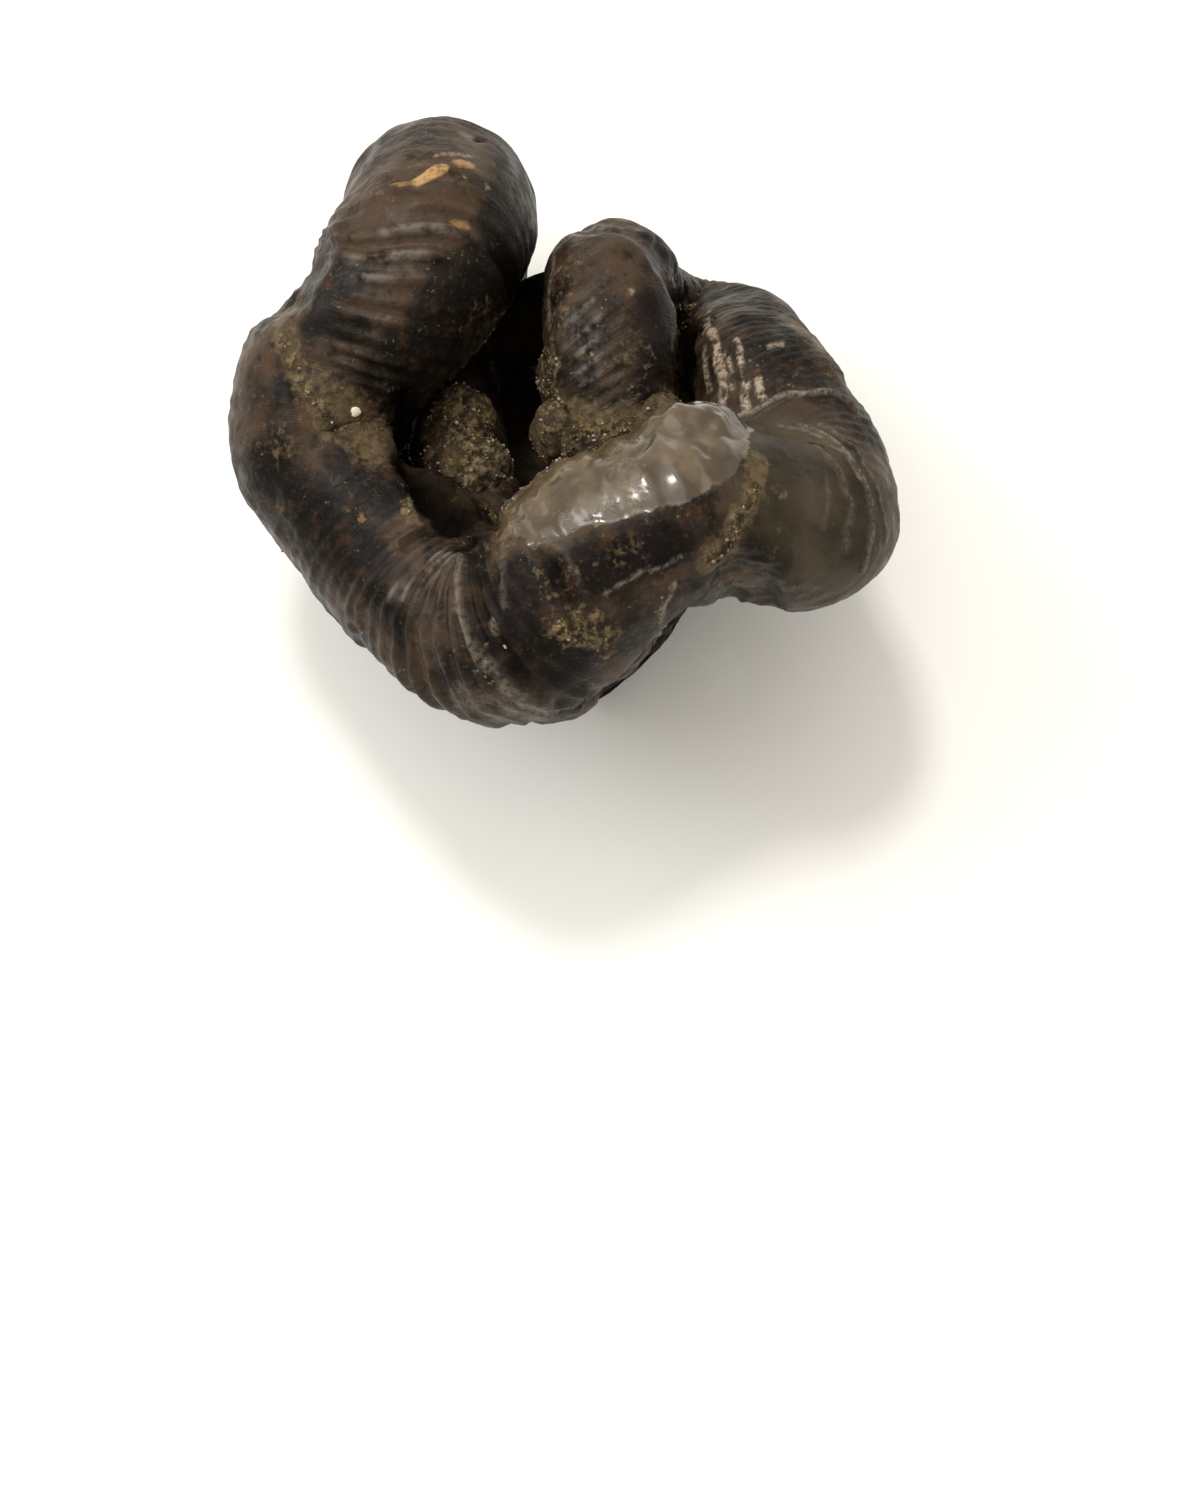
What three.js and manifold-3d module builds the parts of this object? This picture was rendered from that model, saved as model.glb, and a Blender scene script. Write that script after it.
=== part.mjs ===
// A heteromorph ammonite: one ribbed shell tube, turned to stone, that winds back and forth round
// its own small early coil, with rock still stuck in its angles and in its mouth.
// Millimetres, +Z up. It lies on its last limb and on the arch at its back.
import * as THREE from 'three';
import { mergeVertices } from 'three/addons/utils/BufferGeometryUtils.js';
import Module from 'manifold-3d';

const wasm = await Module();
wasm.setup();

// Route of the tube's middle, limb by limb in the order of growth, chosen by hand.
// Each row is x, y, height and tube radius; the route is the smooth curve that the rows pull on.
const EARLY_COIL = [
  [8, 2, 12.5, 1.1],
  [12, 5.5, 13, 1.5],
  [8.5, 10, 13.8, 1.9],
  [4, 6.5, 14.6, 2.3],
  [8, 1.5, 15.8, 2.6],
  [12.5, 5, 17, 2.9],
  [9, 11, 18.5, 3.2],
  [3, 12.5, 20, 3.5],
  [-3, 13.5, 21.3, 3.8],
  [-9, 12, 22.4, 4.2],
];
const INNER_LIMB = [
  [-11.5, 6, 24, 4.6],
  [-11, -2, 25.5, 5.0],
  [-8.5, -11, 26, 5.4],
  [-4, -18.5, 26.5, 5.8],
  [4, -19.5, 27, 6.2],
];
const MIDDLE_LIMB = [
  [7, -12, 27.5, 6.5],
  [5.8, -3, 30, 6.7],
  [5, 5, 34, 6.8],
  [5, 12.4, 34, 6.9],
  [5.5, 16.8, 26, 7.0],
];
const BACK_ARCH = [
  [6.5, 19, 14.5, 7.1],
  [11, 19, 6, 7.2],
  [17.5, 17.5, 6, 7.2],
];
const RIGHT_LIMB = [
  [19.5, 12.5, 15, 7.3],
  [19, 6.5, 26, 7.5],
  [22, -1, 32, 7.9],
  [25.3, -7.5, 33.5, 8.3],
];
const FRONT_LIMB = [
  [26.5, -13.5, 35.5, 8.7],
  [22, -16, 38.5, 8.8],
  [15, -15, 42, 8.8],
  [9, -16.5, 44.5, 8.9],
  [3.5, -20, 43, 9.1],
];
const LOWER_BEND = [
  [-2, -25.5, 38.5, 9.6],
  [-9, -25.5, 34, 9.3],
  [-14.7, -18.1, 30.5, 9.2],
];
const LEFT_LIMB = [
  [-20.6, -10.7, 29.5, 9.2],
  [-26, -3.5, 29.5, 9.4],
  [-23.5, 4.5, 33.5, 9.6],
  [-16, 10.5, 37.5, 9.8],
];
const TOP_BEND = [
  [-12.5, 18, 36.5, 10.0],
  [-13, 25.5, 27, 10.2],
  [-14.5, 26, 14, 10.3],
];
const LAST_LIMB = [
  [-15, 17.5, 8.5, 10.4],
  [-12, 7, 9.9, 10.4],
  [-6, -4, 9.9, 10.5],
  [1.6, -13.8, 9.9, 10.5],
  [6.8, -19.8, 10.3, 10.6],
];
const ROUTE = [
  ...EARLY_COIL, ...INNER_LIMB, ...MIDDLE_LIMB, ...BACK_ARCH, ...RIGHT_LIMB,
  ...FRONT_LIMB, ...LOWER_BEND, ...LEFT_LIMB, ...TOP_BEND, ...LAST_LIMB,
];

// The point on the ground that becomes the origin: the middle of the fossil's outline.
const MIDDLE = [0.07, 0.63];

// Ribs ring the tube. Their pitch grows with the tube, down to a least pitch on the early coil.
const RIB_PITCH_PER_RADIUS = 0.35;
const LEAST_RIB_PITCH = 2.2;
const RIB_RISE = 0.034;     // of the radius, above the mean surface at a rib
const RIB_DIP = 0.022;      // of the radius, below it in the groove between two ribs
const SIDES = 12;           // of each ring of the tube
const STEPS_PER_ROW = 40;   // along the route, from row to row, while the ribs are placed

// The tube is joined from lengths of at least this many rings, parted where it runs straight:
// where the bend's radius is at least this many tube radii.
const LEAST_RINGS_PER_LENGTH = 12;
const STRAIGHT = 3;

// Inside a tight bend the wall is pressed flat, this near to the point that the bend turns about.
const BEND_LIMIT = 0.72;

// Rock left on the shell: centre x, y, z and half sizes x, y, z.
const ROCK = {
  upperCrustOnInnerLimb: [-10.5, 0, 28.2, 3.6, 3.4, 2.9],
  lowerCrustOnInnerLimb: [-9, -6, 29, 3.8, 3.8, 3.2],
  leftFootOfMiddleLimb: [-0.5, -2.5, 31.5, 2.8, 3.4, 4.2],
  footOfMiddleLimb: [4.5, -5, 34.5, 4.6, 3.2, 2.6],
  rightFootOfMiddleLimb: [9.6, -2.8, 34.5, 3.6, 3.0, 3.4],
  leftOfMiddleLimb: [-1.2, 3.5, 31, 1.6, 3.6, 3.0],
  betweenMiddleAndRightLimbs: [12.5, 0, 22, 4.5, 6.5, 6],
  toeOfLowerBend: [-0.5, -29.3, 31, 5.2, 4.6, 6],
  patchUnderFrontLimb: [4, -26.5, 35, 5.0, 3.6, 4.5],
  fillUnderFrontLimb: [2, -22, 26, 6.5, 5.5, 8],
  bandOnLeftLimb: [-25, 4.5, 37, 3.6, 7.5, 4.6],
  crustOnLeftLimb: [-20.5, -3.5, 37, 5.4, 4.8, 2.6],
  fillUnderInnerLimb: [-10.5, 5, 20.3, 3.8, 8.5, 2.8],
  plugInMouth: [2.4, -14.4, 10.1, 10.3, 10.3, 10.1],
};
const ROCK_DETAIL = 2;          // times that the faces of an icosahedron are split
const ROCK_ROUGHNESS = 0.12;    // of a lump's half size, the most that its surface waves
const ROCK_WAVES = [5, 6, 7];   // waves across a lump in x, y and z, in radians

// The block under the ground plane that the resting faces are cut flat by.
const GROUND_SIDE = 200;
const GROUND_DEPTH = 20;

const SHELL_COLOUR = 0x4a3d31;
const SHELL_ROUGHNESS = 0.45;

// Point of the route at a given number of rows from its start, as x, y, z and radius.
function routePoint(position) {
  const row = Math.min(Math.floor(position), ROUTE.length - 2);
  const t = position - row;
  const weights = [
    (1 - t) ** 3,
    3 * t ** 3 - 6 * t ** 2 + 4,
    -3 * t ** 3 + 3 * t ** 2 + 3 * t + 1,
    t ** 3,
  ];
  return [0, 1, 2, 3].map((axis) => weights.reduce(
    (sum, weight, k) => sum + (weight / 6) * rowAt(row - 1 + k)[axis], 0));
}

// A row of the route. One more row than there is at each end carries the curve to the last row.
function rowAt(index) {
  const last = ROUTE.length - 1;
  if (index < 0) return ROUTE[0].map((value, axis) => 2 * value - ROUTE[1][axis]);
  if (index > last) return ROUTE[last].map((value, axis) => 2 * value - ROUTE[last - 1][axis]);
  return ROUTE[index];
}

// Rings across the tube, one at each rib and one in each groove, half a rib pitch apart.
function placeRings() {
  const rings = [];
  const count = (ROUTE.length - 1) * STEPS_PER_ROW;
  let before = new THREE.Vector3(...routePoint(0));
  let toNext = 0;
  for (let step = 0; step <= count; step += 1) {
    const [x, y, z, radius] = routePoint(step / STEPS_PER_ROW);
    const centre = new THREE.Vector3(x, y, z);
    toNext -= centre.distanceTo(before);
    before = centre;
    if (toNext > 0) continue;
    toNext += Math.max(LEAST_RIB_PITCH, RIB_PITCH_PER_RADIUS * radius) / 2;
    const swell = rings.length % 2 === 0 ? 1 + RIB_RISE : 1 - RIB_DIP;
    rings.push({ centre, radius: radius * swell });
  }
  return rings;
}

// Gives each ring its direction, the way and the distance to the middle of its bend, and two
// crossing directions that turn as little as they can from ring to ring.
function turnRings(rings) {
  let across = new THREE.Vector3(0, 0, 1);
  rings.forEach((ring, i) => {
    const back = rings[Math.max(i - 1, 0)].centre;
    const next = rings[Math.min(i + 1, rings.length - 1)].centre;
    ring.along = next.clone().sub(back).normalize();
    across = across.clone().addScaledVector(ring.along, -across.dot(ring.along)).normalize();
    ring.across = across;
    ring.up = ring.along.clone().cross(across);
    const inward = next.clone().add(back).addScaledVector(ring.centre, -2);
    inward.addScaledVector(ring.along, -inward.dot(ring.along));
    const span = next.distanceTo(back) / 2;
    ring.bendRadius = span ** 2 / Math.max(inward.length(), 1e-9);
    ring.inward = inward.normalize();
  });
  return rings;
}

// Where a point of a plain upright cylinder goes when the cylinder is bent along the rings.
function bentPoint(ring, x, z) {
  const offset = ring.across.clone().multiplyScalar(x * ring.radius);
  offset.addScaledVector(ring.up, z * ring.radius);
  const excess = offset.dot(ring.inward) - BEND_LIMIT * ring.bendRadius;
  if (excess > 0) offset.addScaledVector(ring.inward, -excess);
  return offset.add(ring.centre);
}

// One closed length of the tube: a cylinder whose rows of points are put on the rings.
function tubeLength(rings) {
  const spans = rings.length - 1;
  const geometry = new THREE.CylinderGeometry(1, 1, 1, SIDES, spans);
  const points = geometry.attributes.position;
  for (let i = 0; i < points.count; i += 1) {
    const ring = rings[Math.round((0.5 - points.getY(i)) * spans)];
    const place = bentPoint(ring, points.getX(i), points.getZ(i));
    points.setXYZ(i, place.x, place.y, place.z);
  }
  return geometry;
}

// A rounded lump of rock with a rough surface.
function rockLump([x, y, z, halfX, halfY, halfZ]) {
  const geometry = new THREE.IcosahedronGeometry(1, ROCK_DETAIL);
  const points = geometry.attributes.position;
  for (let i = 0; i < points.count; i += 1) {
    const p = new THREE.Vector3().fromBufferAttribute(points, i);
    const waves = Math.sin(ROCK_WAVES[0] * p.x + x)
      + Math.sin(ROCK_WAVES[1] * p.y + y)
      + Math.sin(ROCK_WAVES[2] * p.z + x + y);
    p.multiplyScalar(1 + ROCK_ROUGHNESS * (waves / ROCK_WAVES.length));
    points.setXYZ(i, x + halfX * p.x, y + halfY * p.y, z + halfZ * p.z);
  }
  return geometry;
}

function toSolid(geometry) {
  geometry.deleteAttribute('normal');
  geometry.deleteAttribute('uv');
  const merged = mergeVertices(geometry, 1e-5);
  return new wasm.Manifold(new wasm.Mesh({
    numProp: 3,
    vertProperties: new Float32Array(merged.attributes.position.array),
    triVerts: new Uint32Array(merged.index.array),
  }));
}

function toGeometry(solid) {
  const mesh = solid.getMesh();
  const geometry = new THREE.BufferGeometry();
  geometry.setAttribute('position', new THREE.BufferAttribute(mesh.vertProperties, 3));
  geometry.setIndex(new THREE.BufferAttribute(mesh.triVerts, 1));
  geometry.computeVertexNormals();
  return geometry;
}

function ground() {
  return new THREE.BoxGeometry(GROUND_SIDE, GROUND_SIDE, GROUND_DEPTH).translate(0, 0, -GROUND_DEPTH / 2);
}

// The whole tube as closed lengths that meet face to face.
function tubeLengths(rings) {
  const lengths = [];
  let first = 0;
  rings.forEach((ring, i) => {
    const straight = ring.bendRadius > STRAIGHT * ring.radius;
    const parted = i - first >= LEAST_RINGS_PER_LENGTH && straight;
    if (!parted && i < rings.length - 1) return;
    lengths.push(tubeLength(rings.slice(first, i + 1)));
    first = i;
  });
  return lengths;
}

function ammonite() {
  const lengths = tubeLengths(turnRings(placeRings()));
  const lumps = Object.values(ROCK).map(rockLump);
  const whole = [...lengths, ...lumps].map(toSolid).reduce((body, piece) => body.add(piece));
  const geometry = toGeometry(whole.subtract(toSolid(ground())));
  return geometry.translate(-MIDDLE[0], -MIDDLE[1], 0);
}

const material = new THREE.MeshStandardMaterial({
  color: SHELL_COLOUR,
  roughness: SHELL_ROUGHNESS,
  metalness: 0,
});
const shell = new THREE.Mesh(ammonite(), material);
shell.name = 'shell';

const model = new THREE.Group();
model.add(shell);

export default model;
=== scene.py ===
"""The looks of a heteromorph ammonite: a ribbed fossil tube that winds round its own early coil.

The skin of each limb is a fine mesh along the same route as the solid, with ribs, furrows, broken
shell edges and crust in its surface. Rock lumps and loose grains sit in the angles.
Shapes are worked out in millimetres and written to the meshes in metres.
"""

import math

import bmesh
import bpy
import numpy as np
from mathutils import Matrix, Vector


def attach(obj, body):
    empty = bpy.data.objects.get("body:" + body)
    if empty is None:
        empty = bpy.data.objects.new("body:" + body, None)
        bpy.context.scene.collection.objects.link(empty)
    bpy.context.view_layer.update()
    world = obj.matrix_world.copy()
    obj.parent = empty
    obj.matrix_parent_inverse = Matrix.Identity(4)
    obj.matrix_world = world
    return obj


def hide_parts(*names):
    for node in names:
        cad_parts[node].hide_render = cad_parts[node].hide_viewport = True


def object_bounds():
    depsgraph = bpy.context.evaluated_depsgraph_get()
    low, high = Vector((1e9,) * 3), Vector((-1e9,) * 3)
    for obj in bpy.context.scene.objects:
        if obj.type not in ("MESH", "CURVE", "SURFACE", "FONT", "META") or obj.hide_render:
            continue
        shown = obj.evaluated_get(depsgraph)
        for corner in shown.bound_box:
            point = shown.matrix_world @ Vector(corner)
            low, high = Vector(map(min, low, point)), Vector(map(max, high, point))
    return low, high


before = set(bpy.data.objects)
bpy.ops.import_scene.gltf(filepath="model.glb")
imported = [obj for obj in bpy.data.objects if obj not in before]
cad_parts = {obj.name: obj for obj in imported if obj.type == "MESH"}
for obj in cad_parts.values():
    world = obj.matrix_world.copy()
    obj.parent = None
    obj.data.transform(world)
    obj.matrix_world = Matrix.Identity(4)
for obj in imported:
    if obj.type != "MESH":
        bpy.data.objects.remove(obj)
cad_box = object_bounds()

MM = 0.001
MIDDLE = (0.07, 0.63, 0.0)  # of the outline on the ground, which is the origin of the part

# The route of the tube's middle, limb by limb in the order of growth: x, y, height and radius.
ROUTE = {
    "early_coil": [
        (8, 2, 12.5, 1.1), (12, 5.5, 13, 1.5), (8.5, 10, 13.8, 1.9), (4, 6.5, 14.6, 2.3),
        (8, 1.5, 15.8, 2.6), (12.5, 5, 17, 2.9), (9, 11, 18.5, 3.2), (3, 12.5, 20, 3.5),
        (-3, 13.5, 21.3, 3.8), (-9, 12, 22.4, 4.2),
    ],
    "inner_limb": [
        (-11.5, 6, 24, 4.6), (-11, -2, 25.5, 5.0), (-8.5, -11, 26, 5.4), (-4, -18.5, 26.5, 5.8),
        (4, -19.5, 27, 6.2),
    ],
    "middle_limb": [
        (7, -12, 27.5, 6.5), (5.8, -3, 30, 6.7), (5, 5, 34, 6.8), (5, 12.4, 34, 6.9),
        (5.5, 16.8, 26, 7.0),
    ],
    "back_arch": [(6.5, 19, 14.5, 7.1), (11, 19, 6, 7.2), (17.5, 17.5, 6, 7.2)],
    "right_limb": [(19.5, 12.5, 15, 7.3), (19, 6.5, 26, 7.5), (22, -1, 32, 7.9), (25.3, -7.5, 33.5, 8.3)],
    "front_limb": [
        (26.5, -13.5, 35.5, 8.7), (22, -16, 38.5, 8.8), (15, -15, 42, 8.8), (9, -16.5, 44.5, 8.9),
        (3.5, -20, 43, 9.1),
    ],
    "lower_bend": [(-2, -25.5, 38.5, 9.6), (-9, -25.5, 34, 9.3), (-14.7, -18.1, 30.5, 9.2)],
    "left_limb": [
        (-20.6, -10.7, 29.5, 9.2), (-26, -3.5, 29.5, 9.4), (-23.5, 4.5, 33.5, 9.6),
        (-16, 10.5, 37.5, 9.8),
    ],
    "top_bend": [(-12.5, 18, 36.5, 10.0), (-13, 25.5, 27, 10.2), (-14.5, 26, 14, 10.3)],
    "last_limb": [
        (-15, 17.5, 8.5, 10.4), (-12, 7, 9.9, 10.4), (-6, -4, 9.9, 10.5), (1.6, -13.8, 9.9, 10.5),
        (6.8, -19.8, 10.3, 10.6),
    ],
}
SAMPLES_PER_ROW = 60
BEND_LIMIT = 0.72  # of the way to the middle of a bend, where its inner wall is pressed flat

# Fineness of the skin.
SIDES = 224
SIDES_EARLY = 72
RING_GAP = 0.36  # on the outer side of the tube
RING_GAP_EARLY = 0.45
MOUTH_RINGS = 64

# Ribs. To some rows of each limb: pitch along the middle, rise of a rib, and how far the rings lean per
# millimetre to the right. Between these rows they change evenly.
RIBS = {
    "early_coil": {0: (0.7, 0.05, 0)},
    "inner_limb": {0: (1.2, 0.14, 0), 4: (1.4, 0.16, 0)},
    "middle_limb": {0: (1.3, 0.25, -0.45), 2: (1.3, 0.3, -0.45), 3: (1.5, 0.08, -0.3)},
    "back_arch": {0: (1.6, 0.22, 0)},
    "right_limb": {0: (1.1, 0.18, 0), 2: (0.9, 0.12, 0.1)},
    "front_limb": {0: (1.1, 0.14, 0), 1: (1.9, 0.08, 0), 3: (1.9, 0.12, 0), 4: (1.5, 0.2, 0)},
    "lower_bend": {0: (1.4, 0.4, 0), 1: (1.6, 0.75, 0), 2: (1.6, 0.18, 0)},
    "left_limb": {0: (1.5, 0.08, 0.1), 1: (1.6, 0.07, 0), 2: (1.5, 0.3, -0.4), 3: (1.4, 0.7, -0.5)},
    "top_bend": {0: (1.5, 0.28, -0.1), 1: (1.0, 0.08, 0), 2: (2.0, 0.22, 0)},
    "last_limb": {2: (2.0, 0.3, 0), 4: (1.5, 0.3, 0)},
}

# Rock in the angles: x, y, z, half sizes x, y, z, the share of its surface that is sandy, and 1 where it
# is painted black as shade, deep in a hollow.
ROCK = {
    "inner_limb_upper": (-10.5, 0, 28.2, 3.6, 3.4, 2.9, 0.75, 0),
    "inner_limb_lower": (-9, -6, 29, 3.8, 3.8, 3.2, 0.85, 0),
    "left_foot": (-0.4, -2.4, 31.5, 2.6, 3.2, 4.2, 0.45, 0),
    "middle_foot": (4.5, -5, 34.5, 4.6, 3.2, 2.6, 0.5, 0),
    "right_foot": (9.6, -2.8, 34.5, 3.6, 3.0, 3.4, 0.5, 0),
    "beside_middle_limb": (-1.0, 3.5, 31, 1.4, 3.4, 3.0, 0.55, 0),
    "middle_to_right_limb": (12.5, 0, 22, 4.5, 6.5, 6, 0.4, 1),
    "toe_of_lower_bend": (-0.8, -29.4, 31, 4.8, 3.8, 5.5, 0.1, 0),
    "behind_early_coil": (-1.6, 14.8, 22.4, 4.6, 4.2, 4.2, 0.0, 1),
    "patch_under_front_limb": (4, -26.5, 35, 4.8, 3.4, 4.4, 0.05, 0),
    "under_front_limb": (2, -22, 26, 6.5, 5.5, 8, 0.4, 1),
    "left_limb_upper": (-25, 3, 37, 3.2, 6.5, 4.4, 0.6, 0),
    "left_limb_lower": (-22.3, -3.2, 36.1, 5.0, 4.8, 2.4, 0.6, 0),
    "under_inner_limb": (-10.5, 5, 20.3, 3.8, 8.5, 2.8, 0.4, 1),
    "under_left_limb": (-15.5, 0.5, 19.5, 3.6, 6.0, 3.4, 0.0, 1),
}
LARGE_ROCK = 5.0  # a half size from which a lump gets a finer mesh

# Edges of broken shell on the front limb.
SHELL_EDGE = [(23.8, -6.6), (27.2, -9), (29.6, -12.6), (30.5, -16.8), (29.6, -21)]
INNER_EDGE = [(25.1, -9.7), (27.3, -12.6), (28.4, -16.2), (27.7, -20)]
OUTER_EDGE = [(25.5, -6.8), (29, -9), (31.3, -13), (32, -18)]
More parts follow.
